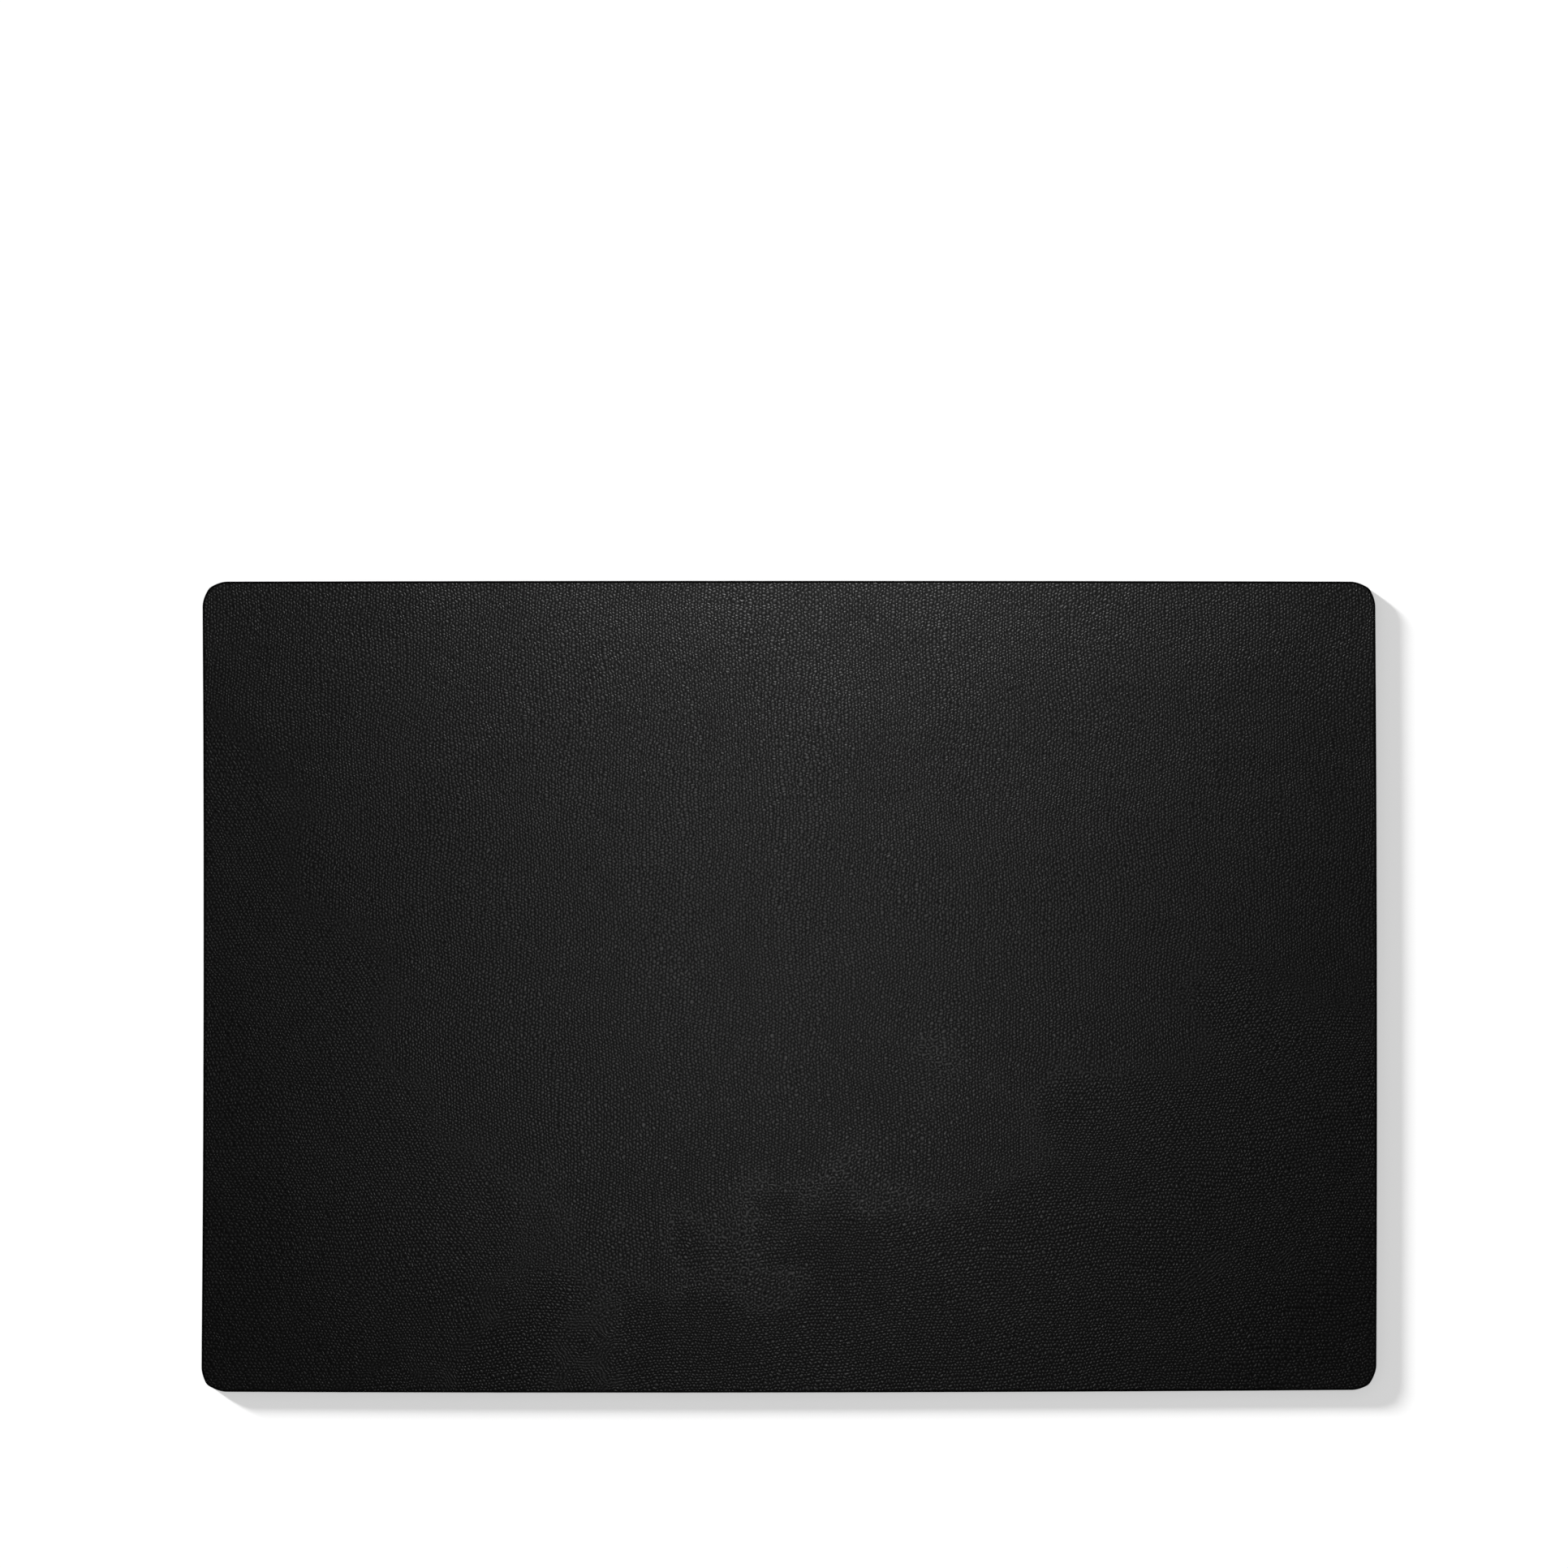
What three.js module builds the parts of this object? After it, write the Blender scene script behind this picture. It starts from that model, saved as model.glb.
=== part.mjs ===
// Leather desk mat: a thin flat laminate with rounded corners, lying on a desk.
// From the desk up it is a suede backing, a bonding film, a stiffening board, a second bonding film
// and a grained leather face. A bead of paint seals the cut edge all the way round.
//
// Millimetres, +Z up, +X along the length, +Y away from the person at the desk.
// The origin is on the desk's surface, under the middle of the mat.

import * as THREE from 'three';
import { toCreasedNormals } from 'three/addons/utils/BufferGeometryUtils.js';

// Driving dimensions

const LENGTH = 650;              // left edge to right edge, over the edge paint
const WIDTH = 449;               // front edge to back edge, over the edge paint

const CORNER_REACH = 14;         // where a corner's curve leaves the straight side, from the corner's tip
const CORNER_HANDLE = 9.8;       // where the curve's control point sits on the side, from the tip
const KNUCKLE_SOFTNESS = 0.2;    // how much of each handle the turn at a corner's knuckle takes up
const CURVE_SEGMENTS = 6;        // straight segments in each curved stretch of the outline

const PAINT_THICKNESS = 0.375;   // how far the edge paint stands out from the laminate's cut edge
const PAINT_BOTTOM = 0.125;      // the paint stops just above the desk
const PAINT_TOP = 2.5;           // and ends where the leather's shoulder starts to turn in
const PAINT_STEPS = 8;           // segments across the paint's domed face

const SHOULDER_WIDTH = 0.75;     // how far the leather's rolled top edge turns in
const SHOULDER_STEPS = 4;        // segments across that rolled edge

// The layers' thicknesses are binary fractions, so that stacked layers meet exactly.
const SUEDE_THICKNESS = 0.75;
const FILM_THICKNESS = 0.125;
const BOARD_THICKNESS = 0.75;
const LEATHER_THICKNESS = 1.25;

// The mat is cut and trimmed by hand, so its rectangle is a little untrue. Each corner lists how far
// its tip lies inside the nominal rectangle, and how far its knuckle lies in from the tip, in X and Y.
// They run anticlockwise, each with the bow of the side that follows it: outwards is positive.
const CORNERS = [
  { sign: [-1, -1], inset: [0.0, 0.5], knuckle: [3.0, 3.9], sideBow: 0.9 },   // front left
  { sign: [1, -1], inset: [0.3, 1.5], knuckle: [4.0, 3.1], sideBow: 0.6 },    // front right
  { sign: [1, 1], inset: [0.9, 0.4], knuckle: [3.4, 3.7], sideBow: 0.4 },     // back right
  { sign: [-1, 1], inset: [0.6, 0.4], knuckle: [3.7, 3.5], sideBow: -0.8 },   // back left
];

const CREASE_ANGLE = THREE.MathUtils.degToRad(35);

// Outline

// One corner's tip and knuckle, with the directions of travel along the sides before and after it.
function placeCorner({ sign: [signX, signY], inset, knuckle, sideBow }) {
  const tip = new THREE.Vector2(signX * (LENGTH / 2 - inset[0]), signY * (WIDTH / 2 - inset[1]));
  const arrivesAlongX = signX * signY < 0;
  const alongX = new THREE.Vector2(-signY, 0);
  const alongY = new THREE.Vector2(0, signX);
  return {
    tip,
    knuckle: new THREE.Vector2(tip.x - signX * knuckle[0], tip.y - signY * knuckle[1]),
    incoming: arrivesAlongX ? alongX : alongY,
    outgoing: arrivesAlongX ? alongY : alongX,
    sideBow,
  };
}

// A corner turns twice, as if trimmed by two short cuts, and eases from one cut into the other.
function addCorner(path, { tip, knuckle, incoming, outgoing }) {
  const firstHandle = tip.clone().addScaledVector(incoming, -CORNER_HANDLE);
  const lastHandle = tip.clone().addScaledVector(outgoing, CORNER_HANDLE);
  const end = tip.clone().addScaledVector(outgoing, CORNER_REACH);
  const easeIn = knuckle.clone().lerp(firstHandle, KNUCKLE_SOFTNESS);
  const easeOut = knuckle.clone().lerp(lastHandle, KNUCKLE_SOFTNESS);
  path.quadraticCurveTo(firstHandle.x, firstHandle.y, easeIn.x, easeIn.y);
  path.quadraticCurveTo(knuckle.x, knuckle.y, easeOut.x, easeOut.y);
  path.quadraticCurveTo(lastHandle.x, lastHandle.y, end.x, end.y);
}

// A side is a shallow arc from the end of one corner to the start of the next.
function addSide(path, corner, nextCorner) {
  const start = corner.tip.clone().addScaledVector(corner.outgoing, CORNER_REACH);
  const end = nextCorner.tip.clone().addScaledVector(nextCorner.incoming, -CORNER_REACH);
  const outwards = new THREE.Vector2(corner.outgoing.y, -corner.outgoing.x);
  const handle = start.clone().lerp(end, 0.5).addScaledVector(outwards, 2 * corner.sideBow);
  path.quadraticCurveTo(handle.x, handle.y, end.x, end.y);
}

// The mat's outer outline, anticlockwise from above, centred on the origin.
function matOutline() {
  const corners = CORNERS.map(placeCorner);
  const path = new THREE.Path();
  const start = corners[0].tip.clone().addScaledVector(corners[0].incoming, -CORNER_REACH);
  path.moveTo(start.x, start.y);
  corners.forEach((corner, i) => {
    addCorner(path, corner);
    addSide(path, corner, corners[(i + 1) % corners.length]);
  });
  const points = path.getPoints(CURVE_SEGMENTS).slice(0, -1);
  const centre = new THREE.Box2().setFromPoints(points).getCenter(new THREE.Vector2());
  return points.map((point) => point.sub(centre));
}

// An outline moved inwards by a distance, square to the line through each point's neighbours.
function insetOutline(outline, distance) {
  const count = outline.length;
  return outline.map((point, i) => {
    const before = outline[(i + count - 1) % count];
    const after = outline[(i + 1) % count];
    const along = after.clone().sub(before).normalize();
    const inwards = new THREE.Vector2(-along.y, along.x);
    return point.clone().addScaledVector(inwards, distance);
  });
}

// Solids

// A solid from a stack of levels, each one the outline at an inset and a height. The index holds its
// triangles, counting the points level by level.
function stackedGeometry(outline, levels, index) {
  const positions = levels.flatMap(({ inset, z }) =>
    insetOutline(outline, inset).flatMap(({ x, y }) => [x, y, z]));
  const geometry = new THREE.BufferGeometry();
  geometry.setAttribute('position', new THREE.Float32BufferAttribute(positions, 3));
  geometry.setIndex(index);
  return toCreasedNormals(geometry, CREASE_ANGLE);
}

// Two triangles for every step along the band between two levels, wrapping round the outline.
function pushBand(index, lowerStart, upperStart, count) {
  for (let i = 0; i < count; i += 1) {
    const next = (i + 1) % count;
    index.push(lowerStart + i, lowerStart + next, upperStart + next);
    index.push(lowerStart + i, upperStart + next, upperStart + i);
  }
}

// A closed sheet whose side runs up through the levels, with a flat face below and above.
function sheetGeometry(outline, levels) {
  const count = outline.length;
  const topStart = (levels.length - 1) * count;
  const index = [];
  for (let start = 0; start < topStart; start += count) {
    pushBand(index, start, start + count, count);
  }
  for (const [a, b, c] of THREE.ShapeUtils.triangulateShape(outline, [])) {
    index.push(c, b, a);
    index.push(topStart + a, topStart + b, topStart + c);
  }
  return stackedGeometry(outline, levels, index);
}

// A closed ring round the outline. The levels run up its outer face, and the last one joins back to
// the first down the inner face.
function ringGeometry(outline, levels) {
  const count = outline.length;
  const total = levels.length * count;
  const index = [];
  for (let start = 0; start < total; start += count) {
    pushBand(index, start, (start + count) % total, count);
  }
  return stackedGeometry(outline, levels, index);
}

// A plain flat layer with square-cut sides.
function flatLevels(bottom, thickness) {
  return [{ inset: PAINT_THICKNESS, z: bottom }, { inset: PAINT_THICKNESS, z: bottom + thickness }];
}

// The leather's side is square up to the paint's top, then rolls over in a quarter of an ellipse.
function leatherLevels(bottom) {
  const top = bottom + LEATHER_THICKNESS;
  const levels = [{ inset: PAINT_THICKNESS, z: bottom }];
  for (let step = 0; step <= SHOULDER_STEPS; step += 1) {
    const angle = (step / SHOULDER_STEPS) * (Math.PI / 2);
    levels.push({
      inset: PAINT_THICKNESS + SHOULDER_WIDTH * (1 - Math.cos(angle)),
      z: PAINT_TOP + (top - PAINT_TOP) * Math.sin(angle),
    });
  }
  return levels;
}

// The paint dries into a full, slightly squared dome, thin where it feathers out at both ends.
function paintLevels() {
  const middle = (PAINT_BOTTOM + PAINT_TOP) / 2;
  const halfHeight = (PAINT_TOP - PAINT_BOTTOM) / 2;
  const levels = [];
  for (let step = 0; step <= PAINT_STEPS; step += 1) {
    const across = (2 * step) / PAINT_STEPS - 1;
    const fullness = (1 - across ** 4) ** 0.5;
    levels.push({ inset: PAINT_THICKNESS * (1 - fullness), z: middle + halfHeight * across });
  }
  return levels;
}

// Materials

function leatherFinish() {
  return new THREE.MeshStandardMaterial({ color: 0x1c1c1c, roughness: 0.52, metalness: 0 });
}

function filmFinish() {
  return new THREE.MeshStandardMaterial({ color: 0xb9ad8c, roughness: 0.45, metalness: 0 });
}

function boardFinish() {
  return new THREE.MeshStandardMaterial({ color: 0x3a2d24, roughness: 0.9, metalness: 0 });
}

function suedeFinish() {
  return new THREE.MeshStandardMaterial({ color: 0x17171a, roughness: 1, metalness: 0 });
}

function paintFinish() {
  return new THREE.MeshStandardMaterial({ color: 0x0e0e0e, roughness: 0.38, metalness: 0 });
}

// Assembly

function deskMat() {
  const outline = matOutline();
  const mat = new THREE.Group();
  let top = 0;

  const addLayer = (name, thickness, levels, material) => {
    const layer = new THREE.Mesh(sheetGeometry(outline, levels), material);
    layer.name = name;
    mat.add(layer);
    top += thickness;
  };

  addLayer('suede_backing', SUEDE_THICKNESS, flatLevels(top, SUEDE_THICKNESS), suedeFinish());
  addLayer('backing_bond_film', FILM_THICKNESS, flatLevels(top, FILM_THICKNESS), filmFinish());
  addLayer('stiffening_board', BOARD_THICKNESS, flatLevels(top, BOARD_THICKNESS), boardFinish());
  addLayer('face_bond_film', FILM_THICKNESS, flatLevels(top, FILM_THICKNESS), filmFinish());
  addLayer('leather_face', LEATHER_THICKNESS, leatherLevels(top), leatherFinish());

  const edgePaint = new THREE.Mesh(ringGeometry(outline, paintLevels()), paintFinish());
  edgePaint.name = 'edge_paint';
  mat.add(edgePaint);
  return mat;
}

export default deskMat();
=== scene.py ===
"""The looks of a leather desk mat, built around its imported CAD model.

The grained leather face, the painted edge and the napped suede underside are modelled here. The board
and the two bonding films between them keep their CAD shapes. Lengths are in metres, except in the
materials, which work in millimetres. X runs along the mat, Y away from the person at the desk, and Z up.
"""

import math

import bpy
import numpy as np
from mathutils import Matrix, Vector, noise
from mathutils.geometry import tessellate_polygon

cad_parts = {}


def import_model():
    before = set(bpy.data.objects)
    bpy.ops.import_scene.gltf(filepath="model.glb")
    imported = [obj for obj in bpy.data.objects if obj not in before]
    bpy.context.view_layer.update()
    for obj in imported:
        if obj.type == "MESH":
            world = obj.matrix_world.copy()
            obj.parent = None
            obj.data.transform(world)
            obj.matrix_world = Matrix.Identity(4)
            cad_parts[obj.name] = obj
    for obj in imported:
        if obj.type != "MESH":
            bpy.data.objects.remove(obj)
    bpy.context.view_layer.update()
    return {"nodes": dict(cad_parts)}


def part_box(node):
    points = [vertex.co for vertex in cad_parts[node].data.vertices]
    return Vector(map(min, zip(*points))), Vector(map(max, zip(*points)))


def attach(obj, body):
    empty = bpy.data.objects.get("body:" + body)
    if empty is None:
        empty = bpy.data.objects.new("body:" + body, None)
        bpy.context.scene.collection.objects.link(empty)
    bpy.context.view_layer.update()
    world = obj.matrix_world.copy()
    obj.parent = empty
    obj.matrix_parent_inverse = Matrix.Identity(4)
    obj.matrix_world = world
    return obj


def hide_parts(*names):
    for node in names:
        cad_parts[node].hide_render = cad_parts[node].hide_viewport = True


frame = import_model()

MM = 0.001

# Sizes taken from the frame
leather_low, leather_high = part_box("leather_face")
paint_low, paint_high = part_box("edge_paint")
suede_low, suede_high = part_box("suede_backing")
PAINT_WIDTH = leather_low.x - paint_low.x      # how far the paint stands out from the cut edge
LEATHER_TOP = leather_high.z
LEATHER_BOTTOM = leather_low.z
PAINT_TOP = paint_high.z
PAINT_BOTTOM = paint_low.z

# Reading the outline from the CAD
LEVEL_TOLERANCE = 0.05 * MM
ROUNDED_DIGITS = 7               # points within about 0.0001 mm are one point
CORNER_SAMPLES = 8000            # tried along the outline to find a corner

# The rolled edges of the leather and the suede
SHOULDER_STEPS = 6               # levels round the roll
SHEET_SHARP_ANGLE = 40           # degrees, past which two of a sheet's faces meet in a crease
SHOULDER_WIDTH = 1.0 * MM        # how far the leather's top edge turns in from the paint
SUEDE_ROUNDING = 0.25 * MM       # the radius of the suede's lower edge

# The leather's shape
LEATHER_COLUMNS = 360
LEATHER_ROWS = 246
WAVE_HEIGHT = 0.10 * MM          # slow waves over the whole sheet
WAVE_LENGTH = 0.21
SWELL_HEIGHT = 0.022 * MM        # softer swellings, a few to a hand's width
SWELL_LENGTH = 0.042

# The suede's shape
SUEDE_COLUMNS = 200
SUEDE_ROWS = 138
NAP_HEIGHT = 0.10 * MM
TUFT_LENGTH = 0.009
TUFT_SHARE = 0.6                 # of the nap's height; the brushing has the rest
BRUSHED_LENGTH = 3.1 * TUFT_LENGTH
BRUSHED_STRETCH = np.array([0.35, 1.0])

# The edge paint's bead
BEAD_POINTS = 1400
BEAD_STEPS = 12
BEAD_SHARP_ANGLE = 60            # degrees, past which two of its faces meet in a crease
BEAD_UNEVENNESS = 0.16           # as a share of the paint's width
BEAD_LEANNESS = 0.35             # how much of that unevenness is taken off the whole bead
BEAD_FINE_LENGTH = 0.006
BEAD_SLOW_LENGTH = 0.05

# The map for baked textures, in shares of its square
LEVEL_FRAME = 0.003              # how far each level of the side stands off the one before
PLAIN_STRIP = 0.03               # the strip kept for the face that is never seen
PLAIN_FILL = (0.98, 0.9)         # how much of that strip's length and width the face fills

# The rows of pebbles, in millimetres and degrees
PEBBLE_SPACING = 1.80            # between neighbouring rows
PEBBLE_STRENGTHS = (1.15, 0.95, 0.95)    # of the three sets of ridges: the first rules the rows
UPRIGHT_GRAIN = 0.0              # which way the three kinds of grain run
FALLING_GRAIN = 30.0
LEVEL_GRAIN = 95.0
BENDS = ((60.0, 8.0), (14.0, 1.4), (3.2, 1.7))    # wavelength and reach of each bend in the rows

# The borders between the three kinds of grain, in millimetres
DRIFT_LENGTH = 70.0              # how slowly both borders wander
FALLING_SLANT = 0.6              # how far the falling grain's border moves left for 1 mm back
FALLING_WANDER = 200.0
FALLING_BORDER = (-90.0, -160.0)         # where it begins and where it rules alone
LEVEL_SLANT = 0.45               # how far the level grain's border moves back for 1 mm to the right
LEVEL_WANDER = 240.0
LEVEL_BORDER = (210.0, 270.0)

# Bundles of creases, in millimetres and degrees
CREASES = (                      # centre in shares of the half length and width, length, width
    ((0.703, -0.690), 50.0, 22.0),
    ((0.843, -0.677), 26.0, 14.0),
)
CREASE_SPACING = 2.0
CREASE_LEAN = 38.0               # from the mat's long side
CREASE_CORE = 0.5                # the share of a bundle's reach in which the creases are whole

# Heights in shares of a pebble's height
PEBBLE_HEIGHT = 0.095 * MM
LEVEL_DEPTH = 1.3                # how much deeper the level grain is than the others
MIDDLE_HEIGHT = 0.4              # between the furrows and the pebbles' tops
CREASE_HEIGHT = 0.33
PEBBLES_IN_CREASES = 0.6
CREASE_LIFT = 0.1
CHANCE_HEIGHT = 0.3
CHANCE_SCALE = 1.4 / PEBBLE_SPACING      # chances to the millimetre, a little over one to a pebble

# The leather's finish, in a furrow and on a pebble's top; the furrow's darker tone is painted shade
EXPOSED_HEIGHTS = (-0.05, 0.8)   # the heights at which a furrow ends and a top begins
SHADED_FURROW_AND_TOP_TONES = (0.002, 0.0045)
LEATHER_ROUGHNESSES = (0.44, 0.36)
LEATHER_SPECULARS = (0.17, 0.72)

# How the leather's finish varies, each where its noise is low and where it is high
CLOUD_LENGTH = 38.0              # mm
CLOUD_ROUGHNESSES = (0.01, -0.01)        # added
MOTTLE_LENGTH = 13.0             # mm
MOTTLE_SPECULARS = (0.965, 1.035)        # multiplied
CHANCE_SPECULARS = (0.8, 1.2)            # multiplied

# The finish at the rolled edge, and the share of the way round at which it gets there
RIM_BUMP = 0.3                   # the strength that is left at the side
RIM_ROUGHNESS = 0.2              # added
RIM_ROUGH_BY = 0.6
RIM_DULL_BY = 0.12               # no gloss is left from here on

# The other materials, with colours as linear red, green, blue and alpha
NOISE_RANGE = (0.3, 0.7)         # between which a noise texture's values mostly lie
PAINT_TONES = (0.0035, 0.007)
PAINT_ROUGHNESSES = (0.42, 0.56)
PAINT_SPECULARS = (0.45, 0.05)   # on its side and on its top
PAINT_TURNS = (0.2, 0.7)         # how far a normal points up where the side ends and the top begins
PAINT_RELIEF = 0.05 * MM
PIT_HEIGHT = 0.4                 # as a share of the streaks'
DARK_SUEDE = (0.005, 0.005, 0.006, 1.0)
PALE_SUEDE = (0.030, 0.030, 0.033, 1.0)
SUEDE_BRUSHING = (0.4, 1.0, 1.0)
SUEDE_RELIEF = 0.25 * MM
DARK_FIBRES = (0.035, 0.02, 0.012, 1.0)
PALE_FIBRES = (0.11, 0.068, 0.042, 1.0)
FIBRE_LAY = (0.35, 1.0, 1.0)
FIBRE_RELIEF = 0.08 * MM
DARK_ADHESIVE = (0.30, 0.22, 0.11, 1.0)
PALE_ADHESIVE = (0.50, 0.42, 0.26, 1.0)
ADHESIVE_ROUGHNESSES = (0.55, 0.3)
STROKE_LAY = (0.08, 1.0, 1.0)
STROKE_RELIEF = 0.05 * MM

# The stage
FLOOR_REACH = 40.0               # to each side of the mat's middle
FLOOR_DROP = 0.02 * MM           # how far the floor lies under the mat
FLOOR_GLOW = 0.515               # the floor is a light table: it glows, so that it stays white
FAR_FLOOR_GLOW = 0.75
GLOW_CHANGES = (0.7, 2.5)        # from near to far, by distance from the mat's middle
KEY_STRENGTH = 12.8
KEY_ELEVATION = 7.3              # degrees
KEY_SPREAD = 5.0                 # degrees
KEY_FROM = Vector((-1.41, 1.0, 0.0))     # the mat's shadow falls the other way
SOFTBOX_HEIGHT = 1.0
SOFTBOX_SIZE = 0.2
SOFTBOXES = (                    # name, place over the desk and power in watts
    ("main_softbox", (0.04, 0.66), 5.75),
    ("fill_softbox", (0.0, -0.12), 0.76),
)
RING_RISES = (0.0, 0.25)         # where the sky brightens, from 0 at the horizon to 1 overhead
RING_LEVELS = (0.25, 0.60)       # from this strength to this
RING_ENDS = (0.35, 0.7)          # and where it darkens again
CAMERA_HEIGHT = 2.2              # above the leather
SENSOR_WIDTH = 36.0              # in millimetres, as Blender measures it
VIEW_WIDTH = 0.8665              # how much of the mat's top plane the picture spans
VIEW_CENTRE = (-0.0029, 0.1121)


# ---------------------------------------------------------------------------------------- outline

class Outline:
    """The mat's closed outer outline as a smooth curve through the CAD's points, by arc length."""

    def __init__(self, points):
        chords = np.roll(points, -1, axis=0) - points
        self.points = points
        self.steps = np.linalg.norm(chords, axis=1)
        self.starts = np.concatenate([[0.0], np.cumsum(self.steps)[:-1]])
        self.length = float(self.steps.sum())
        slopes = chords / self.steps[:, None]
        steps_before = np.roll(self.steps, 1)[:, None]
        slopes_before = np.roll(slopes, 1, axis=0)
        steps_after = self.steps[:, None]
        self.tangents = (slopes_before * steps_before + slopes * steps_after) / (steps_before + steps_after)

    def at(self, distance):
        """Points and outward normals at an array of distances along the outline."""
        distance = np.asarray(distance) % self.length
        i = np.searchsorted(self.starts, distance, side="right") - 1
        j = (i + 1) % len(self.points)
        step = self.steps[i][:, None]
        t = (distance - self.starts[i])[:, None] / step
        p0, p1 = self.points[i], self.points[j]
        m0, m1 = self.tangents[i] * step, self.tangents[j] * step
        # A cubic between the two points, with the outline's own slope at each.
        place = ((2 * t**3 - 3 * t**2 + 1) * p0 + (t**3 - 2 * t**2 + t) * m0
                 + (3 * t**2 - 2 * t**3) * p1 + (t**3 - t**2) * m1)
        along = ((6 * t**2 - 6 * t) * (p0 - p1) + (3 * t**2 - 4 * t + 1) * m0 + (3 * t**2 - 2 * t) * m1)
        along /= np.linalg.norm(along, axis=1)[:, None]
        return place, np.stack([along[:, 1], -along[:, 0]], axis=1)

    def corner(self, sign_x, sign_y):
        """The distance at which the outline reaches furthest towards one corner."""
        distances = np.linspace(0, self.length, CORNER_SAMPLES, endpoint=False)
        place, _ = self.at(distances)
        return distances[np.argmax(sign_x * place[:, 0] + sign_y * place[:, 1])]


def cad_outline():
    """The widest level of the CAD edge paint, halfway up it, anticlockwise from above."""
    points = np.array([v.co for v in frame["nodes"]["edge_paint"].data.vertices])
    middle = (PAINT_TOP + PAINT_BOTTOM) / 2
    level = points[np.abs(points[:, 2] - middle) < LEVEL_TOLERANCE][:, :2]
    level = np.unique(np.round(level, ROUNDED_DIGITS), axis=0)
    return Outline(level[np.argsort(np.arctan2(level[:, 1], level[:, 0]))])


def perimeter(outline, columns, rows):
    """Distances along the outline for a grid's border: even along each side, from corner to corner."""
    corners = [outline.corner(*sign) for sign in ((-1, -1), (1, -1), (1, 1), (-1, 1))]
    distances = []
    for i, cells in enumerate((columns, rows, columns, rows)):
        start = corners[i]
        run = (corners[(i + 1) % 4] - start) % outline.length
        distances.append(start + run * np.arange(cells) / cells)
    return np.concatenate(distances)


def border_indices(columns, rows):
    """The grid's border points in the same order as perimeter, as row * (columns + 1) + column."""
    width = columns + 1
    front = np.arange(columns)
    right = np.arange(rows) * width + columns
    back = rows * width + np.arange(columns, 0, -1)
    left = np.arange(rows, 0, -1) * width
    return np.concatenate([front, right, back, left])


def fill_grid(border, columns, rows):
    """Every grid point inside a closed border, by blending the four sides across (a Coons patch)."""
    front = border[:columns + 1]
    right = border[columns:columns + rows + 1]
    back = border[columns + rows:2 * columns + rows + 1][::-1]
    left = np.vstack([border[2 * columns + rows:], border[:1]])[::-1]
    u = np.linspace(0, 1, columns + 1)[None, :, None]
    v = np.linspace(0, 1, rows + 1)[:, None, None]
    across = (1 - v) * front[None] + v * back[None]
    along = (1 - u) * left[:, None] + u * right[:, None]
    corners = ((1 - u) * (1 - v) * front[0] + u * (1 - v) * front[-1]
               + (1 - u) * v * back[0] + u * v * back[-1])
    return (across + along - corners).reshape(-1, 2)


# ----------------------------------------------------------------------------------------- meshes

def smooth_noise(xy, wavelength, seed):
    """Perlin noise from about -1 to 1, whose features are about one wavelength across."""
    return np.array([noise.noise(Vector((x / wavelength, y / wavelength, seed))) for x, y in xy])


def make_object(name, vertices, faces, sharp_angle):
    mesh = bpy.data.meshes.new(name)
    mesh.from_pydata(vertices.tolist(), [], faces)
    mesh.update()
    mesh.shade_smooth()
    mesh.set_sharp_from_angle(angle=math.radians(sharp_angle))
    piece = bpy.data.objects.new(name, mesh)
    bpy.context.scene.collection.objects.link(piece)
    return piece


def band(lower, upper):
    """Quads between two loops of points, each listed anticlockwise from above; they face outwards."""
    following = np.roll(lower, -1), np.roll(upper, -1)
    return np.stack([lower, following[0], following[1], upper], axis=1).tolist()


def sheet(name, outline, columns, rows, levels, relief):
    """A thin closed sheet with one finely gridded face and one plain face.

    levels run from the gridded face's border over the side to the plain face, each an inset from
    the outline and a height. relief gives the gridded face's height above the first level, and it
    dies away by the level at which the side begins. The attribute "rim" rises from 0 on the gridded
    face to 1 where the side begins.
    """
    distances = perimeter(outline, columns, rows)
    place, outward = outline.at(distances)
    grid = fill_grid(place - levels[0][0] * outward, columns, rows)
    face_up = levels[0][1] > levels[-1][1]
    grid_heights = levels[0][1] + relief(grid)
    vertices = [np.column_stack([grid, grid_heights])]
    level_numbers = [np.zeros(len(grid))]

    # The gridded face
    width = columns + 1
    lower_left = (np.arange(rows)[:, None] * width + np.arange(columns)[None]).ravel()
    faces = np.stack([lower_left, lower_left + 1, lower_left + width + 1, lower_left + width], axis=1)
    faces = faces.tolist()

    # The side, level by level
    border = border_indices(columns, rows)
    border_relief = grid_heights[border] - levels[0][1]
    loop = border
    total = len(grid)
    for number, (inset, height) in enumerate(levels[1:], start=1):
        fade = max(0.0, 1 - number / SHOULDER_STEPS)
        heights = height + border_relief * fade
        vertices.append(np.column_stack([place - inset * outward, heights]))
        level_numbers.append(np.full(len(border), float(number)))
        next_loop = total + np.arange(len(border))
        faces += band(next_loop, loop)
        loop = next_loop
        total += len(border)
    vertices = np.vstack(vertices)

    # The plain face
    plain_face = tessellate_polygon([[Vector(vertices[i]) for i in loop]])
    plain_face = [[int(loop[c]), int(loop[b]), int(loop[a])] for a, b, c in plain_face]
    a, b, c = (vertices[i] for i in plain_face[0])
    if np.cross(b - a, c - a)[2] > 0:
        plain_face = [triangle[::-1] for triangle in plain_face]
    faces += plain_face

    if not face_up:
        faces = [face[::-1] for face in faces]
    piece = make_object(name, vertices, faces, SHEET_SHARP_ANGLE)
    level_numbers = np.concatenate(level_numbers)
    rim = np.minimum(1.0, level_numbers / SHOULDER_STEPS)
    piece.data.attributes.new("rim", "FLOAT", "POINT").data.foreach_set("value", rim)
    lay_flat(piece, vertices, level_numbers, 3 * len(plain_face))
    return piece


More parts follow.
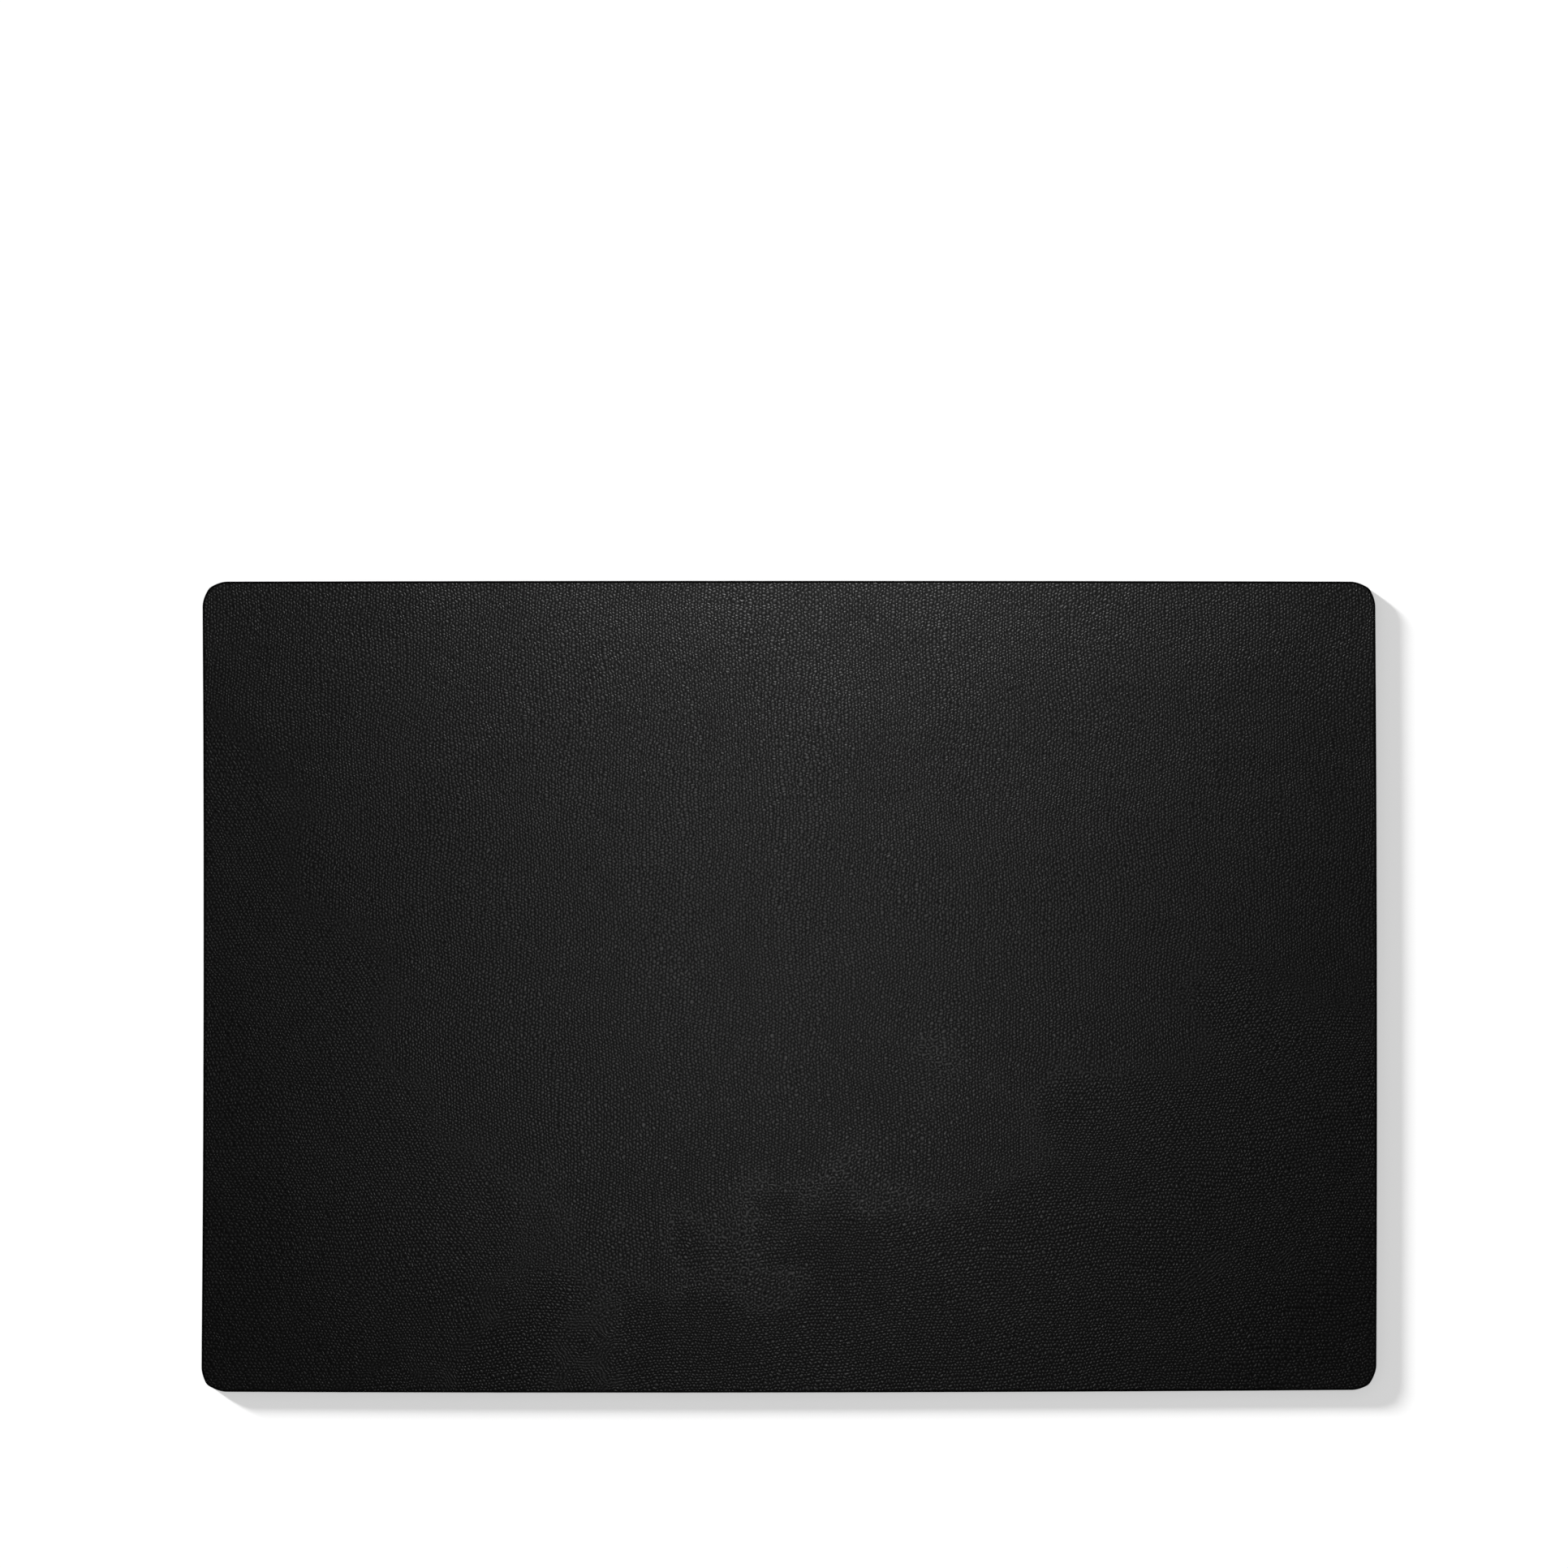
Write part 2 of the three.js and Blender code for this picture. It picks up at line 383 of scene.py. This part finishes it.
def lay_flat(piece, vertices, level_numbers, plain_corners):
    """The map for baked textures: the gridded face fills the square, framed by the side's levels.

    The plain face, whose corners are the mesh's last plain_corners ones, is squeezed into a strip
    along the square's lower edge, as it is never seen.
    """
    xy = vertices[:, :2]
    place = (xy - xy.min(axis=0)) / np.ptp(xy, axis=0) - 0.5
    shrink = 1 - LEVEL_FRAME * (level_numbers.max() + 1 - level_numbers)
    framed = 0.5 + place * shrink[:, None]
    framed[:, 1] = PLAIN_STRIP + (1 - PLAIN_STRIP) * framed[:, 1]
    plain_length, plain_width = PLAIN_FILL
    squeezed = (0.5 + plain_length * place) * np.array([1.0, plain_width * PLAIN_STRIP])
    corner_vertices = np.empty(len(piece.data.loops), dtype=int)
    piece.data.loops.foreach_get("vertex_index", corner_vertices)
    places = framed[corner_vertices]
    places[-plain_corners:] = squeezed[corner_vertices[-plain_corners:]]
    baked = piece.data.uv_layers.new(name="OFBake")
    baked.uv.foreach_set("vector", places.ravel())


def rolled_edge(width, side_height, face_height):
    """A quarter round's levels for sheet, from the gridded face to the side: insets and heights."""
    levels = []
    for step in range(SHOULDER_STEPS + 1):
        angle = math.pi / 2 * (1 - step / SHOULDER_STEPS)
        inset = PAINT_WIDTH + width * (1 - math.cos(angle))
        levels.append((inset, side_height + (face_height - side_height) * math.sin(angle)))
    return levels


def leather_face(outline):
    """The leather sheet: nearly flat, with slow waves, soft swellings and a rolled top edge."""
    def relief(xy):
        waves = WAVE_HEIGHT * smooth_noise(xy, WAVE_LENGTH, seed=3.7)
        swells = SWELL_HEIGHT * smooth_noise(xy, SWELL_LENGTH, seed=8.1)
        return waves + swells

    levels = rolled_edge(SHOULDER_WIDTH, PAINT_TOP, LEATHER_TOP)
    levels.append((PAINT_WIDTH, LEATHER_BOTTOM))
    piece = sheet("leather_face_grained", outline, LEATHER_COLUMNS, LEATHER_ROWS, levels, relief)
    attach(piece, "root")
    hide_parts("leather_face")
    return piece


def suede_backing(outline):
    """The suede underside: a napped face towards the desk, brushed into low uneven tufts."""
    def relief(xy):
        tufts = 0.5 + 0.5 * smooth_noise(xy, TUFT_LENGTH, seed=21.3)
        brushed = 0.5 + 0.5 * smooth_noise(xy * BRUSHED_STRETCH, BRUSHED_LENGTH, seed=5.2)
        return NAP_HEIGHT * (TUFT_SHARE * tufts + (1 - TUFT_SHARE) * brushed)

    levels = rolled_edge(SUEDE_ROUNDING, suede_low.z + SUEDE_ROUNDING, suede_low.z)
    levels.append((PAINT_WIDTH, suede_high.z))
    piece = sheet("suede_backing_napped", outline, SUEDE_COLUMNS, SUEDE_ROWS, levels, relief)
    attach(piece, "root")
    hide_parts("suede_backing")
    return piece


def edge_paint(outline):
    """The bead of edge paint: a full dome, a little uneven along its length as if wiped on by hand."""
    distances = np.linspace(0, outline.length, BEAD_POINTS, endpoint=False)
    place, outward = outline.at(distances)
    fine = smooth_noise(place, BEAD_FINE_LENGTH, seed=31.0)
    slow = smooth_noise(place, BEAD_SLOW_LENGTH, seed=47.0)
    width = PAINT_WIDTH * (1 + BEAD_UNEVENNESS * ((fine + slow) / 2 - BEAD_LEANNESS))
    middle = (PAINT_TOP + PAINT_BOTTOM) / 2
    half_height = (PAINT_TOP - PAINT_BOTTOM) / 2
    loops = []
    for step in range(BEAD_STEPS + 1):
        across = 2 * step / BEAD_STEPS - 1
        fullness = math.sqrt(1 - across**4)
        inset = PAINT_WIDTH - width * fullness
        heights = np.full(BEAD_POINTS, middle + half_height * across)
        loops.append(np.column_stack([place - inset[:, None] * outward, heights]))
    vertices = np.vstack(loops)
    faces = []
    for step in range(BEAD_STEPS + 1):
        lower = step * BEAD_POINTS + np.arange(BEAD_POINTS)
        upper = (step + 1) % (BEAD_STEPS + 1) * BEAD_POINTS + np.arange(BEAD_POINTS)
        faces += band(lower, upper)
    piece = make_object("edge_paint_bead", vertices, faces, BEAD_SHARP_ANGLE)
    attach(piece, "root")
    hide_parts("edge_paint")
    return piece


# -------------------------------------------------------------------------------------- materials

class Nodes:
    """Short names for building a material's or the world's node tree."""

    def __init__(self, owner):
        owner.use_nodes = True
        self.tree = owner.node_tree
        self.tree.nodes.clear()

    def add(self, kind, inputs=None, **settings):
        node = self.tree.nodes.new(kind)
        for name, value in settings.items():
            setattr(node, name, value)
        for name, value in (inputs or {}).items():
            self.feed(node.inputs[name], value)
        return node

    def feed(self, socket, value):
        if isinstance(value, bpy.types.NodeSocket):
            self.tree.links.new(value, socket)
        else:
            socket.default_value = value

    def math(self, operation, *values):
        node = self.add("ShaderNodeMath", operation=operation)
        for i, value in enumerate(values):
            self.feed(node.inputs[i], value)
        return node.outputs[0]

    def vector(self, operation, *values):
        node = self.add("ShaderNodeVectorMath", operation=operation)
        for i, value in enumerate(values):
            self.feed(node.inputs[i], value)
        return node.outputs[0]

    def dot(self, vector, direction):
        node = self.add("ShaderNodeVectorMath", {0: vector, 1: direction}, operation="DOT_PRODUCT")
        return node.outputs["Value"]

    def length(self, vector):
        node = self.add("ShaderNodeVectorMath", {0: vector}, operation="LENGTH")
        return node.outputs["Value"]

    def noise(self, vector, scale, detail, output="Fac", roughness=0.5):
        """Noise of about scale features to one unit of the vector; Fac lies mostly in NOISE_RANGE."""
        node = self.add("ShaderNodeTexNoise", {"Vector": vector, "Scale": scale, "Detail": detail,
                                               "Roughness": roughness}, noise_dimensions="2D")
        return node.outputs[output]

    def ramp(self, value, low, high, to_low=0.0, to_high=1.0, kind="SMOOTHSTEP"):
        """to_low as far as low, to_high from high on, and an ease between; low may be the larger."""
        node = self.add("ShaderNodeMapRange", {"Value": value, "From Min": low, "From Max": high,
                                               "To Min": to_low, "To Max": to_high},
                        interpolation_type=kind)
        return node.outputs["Result"]

    def mix(self, factor, first, second):
        node = self.add("ShaderNodeMix", {0: factor, 2: first, 3: second}, data_type="FLOAT")
        return node.outputs[0]

    def mix_colour(self, factor, first, second):
        node = self.add("ShaderNodeMix", {0: factor, 6: first, 7: second}, data_type="RGBA")
        return node.outputs[2]

    def millimetres(self):
        """The position on the piece in the row frame, in millimetres."""
        place = self.add("ShaderNodeTexCoord").outputs["Object"]
        return self.vector("MULTIPLY", place, (1 / MM, 1 / MM, 1 / MM))

    def bump(self, height, distance, strength):
        """The surface's normal over a height from 0 to 1, of which 1 stands distance high."""
        node = self.add("ShaderNodeBump", {"Height": height, "Distance": distance, "Strength": strength})
        return node.outputs["Normal"]

    def surface(self, **inputs):
        """A Principled surface, with its inputs named in words joined by underscores."""
        shader = self.add("ShaderNodeBsdfPrincipled")
        for name, value in inputs.items():
            self.feed(shader.inputs[name.replace("_", " ")], value)
        output = self.add("ShaderNodeOutputMaterial")
        self.tree.links.new(shader.outputs[0], output.inputs["Surface"])


def grey(level):
    return (level, level, level, 1.0)


def pebbles(nodes, place, angle):
    """Rounded pebbles in rows, as three sets of parallel ridges at 60 degrees that meet in peaks.

    The first set's ridges lie across the angle in degrees. The result is 1 on a full peak and about
    0 between the peaks.
    """
    total = 0.5 * sum(PEBBLE_STRENGTHS)
    phase_per_mm = 2 * math.pi / PEBBLE_SPACING
    for turn, strength in zip((0, 60, 120), PEBBLE_STRENGTHS):
        direction = math.radians(angle + turn)
        across = (phase_per_mm * math.cos(direction), phase_per_mm * math.sin(direction), 0.0)
        ridge = nodes.math("MULTIPLY", nodes.math("COSINE", nodes.dot(place, across)), strength)
        total = nodes.math("ADD", total, ridge)
    return nodes.math("DIVIDE", total, 1.5 * sum(PEBBLE_STRENGTHS))


def creased(nodes, place, dome, centre, length, width):
    """The pebbles' height with a bundle of parallel creases, where the hide was once folded.

    centre is in shares of the mat's half length and half width; length and width are in mm.
    """
    lean = math.radians(CREASE_LEAN)
    middle = (centre[0] * leather_high.x / MM, centre[1] * leather_high.y / MM, 0.0)
    offset = nodes.vector("SUBTRACT", place, middle)
    along = nodes.dot(offset, (math.cos(lean), math.sin(lean), 0.0))
    across = nodes.dot(offset, (-math.sin(lean), math.cos(lean), 0.0))
    reach = nodes.add("ShaderNodeCombineXYZ", {"X": nodes.math("DIVIDE", along, length / 2),
                                               "Y": nodes.math("DIVIDE", across, width / 2)})
    presence = nodes.ramp(nodes.length(reach.outputs[0]), 1.0, CREASE_CORE)
    ridge = nodes.math("COSINE", nodes.math("MULTIPLY", across, 2 * math.pi / CREASE_SPACING))
    ridge = nodes.math("MULTIPLY", ridge, CREASE_HEIGHT)
    folded = nodes.math("ADD", ridge, nodes.math("MULTIPLY", dome, PEBBLES_IN_CREASES))
    return nodes.mix(presence, dome, nodes.math("ADD", folded, CREASE_LIFT))


def bent_rows(nodes, place):
    """The place on the hide, shifted as the hide's own flow bends and spreads the rows of pebbles."""
    bent = place
    for wavelength, reach in BENDS:
        flow = nodes.noise(place, 1 / wavelength, 0.0, "Color")
        shift = nodes.vector("SUBTRACT", flow, (0.5, 0.5, 0.5))
        bent = nodes.vector("ADD", bent, nodes.vector("MULTIPLY", shift, (reach, reach, 0.0)))
    return bent


def grain(nodes, place, bent):
    """The pebbles' height: three directions of grain, each ruling its own part of the sheet."""
    axes = nodes.add("ShaderNodeSeparateXYZ", {"Vector": place})
    x, y = axes.outputs[0], axes.outputs[1]
    drift = nodes.noise(place, 1 / DRIFT_LENGTH, 2.0)

    # The falling grain lies along the left side, and narrows towards the back.
    from_left = nodes.math("ADD", x, nodes.math("MULTIPLY", y, FALLING_SLANT))
    from_left = nodes.math("ADD", from_left, nodes.math("MULTIPLY", drift, FALLING_WANDER))
    falling_share = nodes.ramp(from_left, *FALLING_BORDER)

    # The level grain lies in the front right corner.
    from_back = nodes.math("SUBTRACT", nodes.math("MULTIPLY", x, LEVEL_SLANT), y)
    from_back = nodes.math("ADD", from_back, nodes.math("MULTIPLY", drift, LEVEL_WANDER))
    level_share = nodes.ramp(from_back, *LEVEL_BORDER)

    upright = pebbles(nodes, bent, UPRIGHT_GRAIN)
    falling = pebbles(nodes, bent, FALLING_GRAIN)
    level = pebbles(nodes, bent, LEVEL_GRAIN)
    dome = nodes.mix(level_share, nodes.mix(falling_share, upright, falling), level)

    # The level grain is the deepest: it spreads further to both sides of the middle height.
    depth = nodes.ramp(level_share, 0.0, 1.0, 1.0, LEVEL_DEPTH, "LINEAR")
    above_middle = nodes.math("SUBTRACT", dome, MIDDLE_HEIGHT)
    return nodes.math("ADD", nodes.math("MULTIPLY", above_middle, depth), MIDDLE_HEIGHT)


def leather_material():
    """Black calf leather, pebbled all over, each pebble catching the light on its top."""
    material = bpy.data.materials.new("black_pebbled_leather")
    nodes = Nodes(material)
    place = nodes.millimetres()
    bent = bent_rows(nodes, place)
    dome = grain(nodes, place, bent)
    for centre, length, width in CREASES:
        dome = creased(nodes, bent, dome, centre, length, width)

    # No two pebbles are alike, and the grain is pressed flat where the edge rolls over.
    chance = nodes.noise(bent, CHANCE_SCALE, 0.0)
    height = nodes.math("ADD", dome, nodes.math("MULTIPLY", chance, CHANCE_HEIGHT))
    rim = nodes.add("ShaderNodeAttribute", attribute_name="rim").outputs["Fac"]
    normal = nodes.bump(height, PEBBLE_HEIGHT, nodes.ramp(rim, 0.0, 1.0, 1.0, RIM_BUMP))

    # A pebble's top is smoother and glossier than its furrow, whose darker colour is painted shade.
    furrow_to_top = nodes.ramp(dome, *EXPOSED_HEIGHTS)
    # The furrows' darker base colour here is painted shade.
    tone_with_furrow_shade = nodes.mix(furrow_to_top, *SHADED_FURROW_AND_TOP_TONES)
    colour = nodes.add("ShaderNodeCombineColor", {"Red": tone_with_furrow_shade, "Green": tone_with_furrow_shade, "Blue": tone_with_furrow_shade})
    roughness = nodes.mix(furrow_to_top, *LEATHER_ROUGHNESSES)
    specular = nodes.mix(furrow_to_top, *LEATHER_SPECULARS)

    # Clouds and mottling come from the hide, and the dressing leaves the rolled edge dull.
    cloud = nodes.noise(place, 1 / CLOUD_LENGTH, 3.0)
    mottle = nodes.noise(place, 1 / MOTTLE_LENGTH, 2.0)
    roughness = nodes.math("ADD", roughness, nodes.ramp(cloud, *NOISE_RANGE, *CLOUD_ROUGHNESSES))
    roughness = nodes.math("ADD", roughness, nodes.ramp(rim, 0.0, RIM_ROUGH_BY, 0.0, RIM_ROUGHNESS))
    specular = nodes.math("MULTIPLY", specular, nodes.ramp(chance, *NOISE_RANGE, *CHANCE_SPECULARS))
    specular = nodes.math("MULTIPLY", specular, nodes.ramp(rim, 0.0, RIM_DULL_BY, 1.0, 0.0))
    specular = nodes.math("MULTIPLY", specular, nodes.ramp(mottle, *NOISE_RANGE, *MOTTLE_SPECULARS))
    nodes.surface(Base_Color=colour.outputs[0], Roughness=roughness, Specular_IOR_Level=specular,
                  Normal=normal)
    return material


def paint_material():
    """Satin black edge dressing with faint streaks and small pits, wiped matt over the top edge."""
    material = bpy.data.materials.new("black_edge_dressing")
    nodes = Nodes(material)
    place = nodes.millimetres()
    streaks = nodes.noise(place, 1.4, 3.0)
    pits = nodes.noise(place, 3.5, 2.0)
    height = nodes.math("ADD", streaks, nodes.math("MULTIPLY", pits, PIT_HEIGHT))
    facing = nodes.add("ShaderNodeNewGeometry").outputs["Normal"]
    facing_up = nodes.add("ShaderNodeSeparateXYZ", {"Vector": facing}).outputs[2]
    colour = nodes.mix_colour(streaks, grey(PAINT_TONES[0]), grey(PAINT_TONES[1]))
    nodes.surface(Base_Color=colour, Roughness=nodes.ramp(streaks, *NOISE_RANGE, *PAINT_ROUGHNESSES),
                  Specular_IOR_Level=nodes.ramp(facing_up, *PAINT_TURNS, *PAINT_SPECULARS),
                  Normal=nodes.bump(height, PAINT_RELIEF, 0.7))
    return material


def suede_material():
    """Black suede with a short nap, lighter and darker where the nap has been brushed."""
    material = bpy.data.materials.new("black_suede")
    nodes = Nodes(material)
    place = nodes.millimetres()
    brushed = nodes.noise(nodes.vector("MULTIPLY", place, SUEDE_BRUSHING), 1 / 28, 3.0)
    fibres = nodes.noise(place, 2.4, 4.0, roughness=0.7)
    shade = nodes.math("ADD", nodes.math("MULTIPLY", brushed, 0.55), nodes.math("MULTIPLY", fibres, 0.45))
    colour = nodes.mix_colour(nodes.ramp(shade, 0.36, 0.64), DARK_SUEDE, PALE_SUEDE)
    nodes.surface(Base_Color=colour, Roughness=0.95, Specular_IOR_Level=0.1, Sheen_Weight=0.5,
                  Sheen_Roughness=0.4, Normal=nodes.bump(fibres, SUEDE_RELIEF, 0.8))
    return material


def board_material():
    """Bonded leather fibre board: brown pressed fibres, dull and slightly felted."""
    material = bpy.data.materials.new("bonded_fibre_board")
    nodes = Nodes(material)
    place = nodes.millimetres()
    fibres = nodes.noise(nodes.vector("MULTIPLY", place, FIBRE_LAY), 1.1, 5.0, roughness=0.65)
    clumps = nodes.noise(place, 1 / 9, 3.0)
    shade = nodes.math("ADD", nodes.math("MULTIPLY", fibres, 0.6), nodes.math("MULTIPLY", clumps, 0.4))
    colour = nodes.mix_colour(nodes.ramp(shade, 0.35, 0.65), DARK_FIBRES, PALE_FIBRES)
    nodes.surface(Base_Color=colour, Roughness=0.9, Normal=nodes.bump(fibres, FIBRE_RELIEF, 0.7))
    return material


def film_material():
    """Dried contact adhesive: amber, brushed on in one direction, glossy where it lies thick."""
    material = bpy.data.materials.new("contact_adhesive")
    nodes = Nodes(material)
    place = nodes.millimetres()
    strokes = nodes.noise(nodes.vector("MULTIPLY", place, STROKE_LAY), 1 / 3, 3.0)
    colour = nodes.mix_colour(nodes.ramp(strokes, *NOISE_RANGE), DARK_ADHESIVE, PALE_ADHESIVE)
    nodes.surface(Base_Color=colour,
                  Roughness=nodes.ramp(strokes, *NOISE_RANGE, *ADHESIVE_ROUGHNESSES),
                  Normal=nodes.bump(strokes, STROKE_RELIEF, 0.6))
    return material


def finish_with(piece, material):
    piece.data.materials.clear()
    piece.data.materials.append(material)


def finish_cad_node(name, material):
    piece = frame["nodes"][name]
    if not piece.material_slots:
        piece.data.materials.append(None)
    for material_slot in piece.material_slots:
        material_slot.link = "OBJECT"
        material_slot.material = material


# ------------------------------------------------------------------------------------------ stage

def floor():
    """A pale plane just under the mat, which glows from below."""
    mesh = bpy.data.meshes.new("floor")
    corners = [(x * FLOOR_REACH, y * FLOOR_REACH, -FLOOR_DROP)
               for x, y in ((-1, -1), (1, -1), (1, 1), (-1, 1))]
    mesh.from_pydata(corners, [], [(0, 1, 2, 3)])
    ground = bpy.data.objects.new("floor", mesh)
    bpy.context.scene.collection.objects.link(ground)
    material = bpy.data.materials.new("light_table")
    nodes = Nodes(material)
    distance = nodes.length(nodes.add("ShaderNodeTexCoord").outputs["Object"])
    glow = nodes.ramp(distance, *GLOW_CHANGES, FLOOR_GLOW, FAR_FLOOR_GLOW)
    nodes.surface(Base_Color=grey(0.8), Roughness=1.0, Specular_IOR_Level=0.0,
                  Emission_Color=grey(1.0), Emission_Strength=glow)
    mesh.materials.append(material)
    return ground


def add_light(name, kind, place, direction, **settings):
    data = bpy.data.lights.new(name, kind)
    for setting, value in settings.items():
        setattr(data, setting, value)
    lamp = bpy.data.objects.new(name, data)
    lamp.location = place
    lamp.rotation_mode = "QUATERNION"
    lamp.rotation_quaternion = Vector(direction).to_track_quat("-Z", "Y")
    lamp.visible_camera = False
    bpy.context.scene.collection.objects.link(lamp)
    return lamp


def lights(ground, mat):
    """Two softboxes over the mat, and a low key from the back left that draws its shadow on the floor.

    The softboxes light only the mat and the key lights only the floor, so the floor stays one even
    white. The stronger softbox is behind the mat, so the leather darkens towards the front.
    """
    on_mat = bpy.data.collections.new("lit_by_softboxes")
    for piece in mat:
        on_mat.objects.link(piece)
    for name, place, power in SOFTBOXES:
        lamp = add_light(name, "AREA", (*place, SOFTBOX_HEIGHT), (0, 0, -1), energy=power,
                         shape="DISK", size=SOFTBOX_SIZE)
        lamp.light_linking.receiver_collection = on_mat
    elevation = math.radians(KEY_ELEVATION)
    towards = -KEY_FROM.normalized() * math.cos(elevation) - Vector((0, 0, math.sin(elevation)))
    key = add_light("key", "SUN", (0, 0, 1), towards, energy=KEY_STRENGTH,
                    angle=math.radians(KEY_SPREAD))
    on_floor = bpy.data.collections.new("lit_by_key")
    on_floor.objects.link(ground)
    key.light_linking.receiver_collection = on_floor


def world():
    """White to the camera. What the mat reflects is a dim ring low on an otherwise dark sky."""
    surroundings = bpy.data.worlds.new("studio")
    bpy.context.scene.world = surroundings
    nodes = Nodes(surroundings)
    direction = nodes.add("ShaderNodeTexCoord").outputs["Generated"]
    up = nodes.add("ShaderNodeSeparateXYZ", {"Vector": direction}).outputs[2]
    ring = nodes.ramp(up, *RING_RISES, *RING_LEVELS)
    darkening = nodes.ramp(up, *RING_ENDS, 1.0, 0.0)
    seen = nodes.add("ShaderNodeLightPath").outputs["Is Camera Ray"]
    strength = nodes.mix(seen, nodes.math("MULTIPLY", ring, darkening), 1.0)
    background = nodes.add("ShaderNodeBackground", {"Color": grey(1.0), "Strength": strength})
    output = nodes.add("ShaderNodeOutputWorld")
    nodes.tree.links.new(background.outputs[0], output.inputs["Surface"])


def camera():
    """Straight above the desk, looking down, with the mat's back edge up the picture."""
    data = bpy.data.cameras.new("camera")
    data.sensor_width = SENSOR_WIDTH
    data.lens = data.sensor_width * CAMERA_HEIGHT / VIEW_WIDTH
    eye = bpy.data.objects.new("camera", data)
    eye.location = (*VIEW_CENTRE, LEATHER_TOP + CAMERA_HEIGHT)
    bpy.context.scene.collection.objects.link(eye)
    bpy.context.scene.camera = eye


def white_stays_white():
    """Show the light as it is, with no film-like curve that would grey the white floor."""
    settings = bpy.context.scene.view_settings
    settings.view_transform = "Standard"
    settings.look = "None"
    settings.exposure = 0.0
    settings.gamma = 1.0


# ------------------------------------------------------------------------------------------ build

outline = cad_outline()
leather = leather_face(outline)
suede = suede_backing(outline)
paint = edge_paint(outline)
finish_with(leather, leather_material())
finish_with(suede, suede_material())
finish_with(paint, paint_material())
finish_cad_node("stiffening_board", board_material())
adhesive = film_material()
finish_cad_node("face_bond_film", adhesive)
finish_cad_node("backing_bond_film", adhesive)

lights(floor(), (leather, suede, paint))
world()
camera()
white_stays_white()
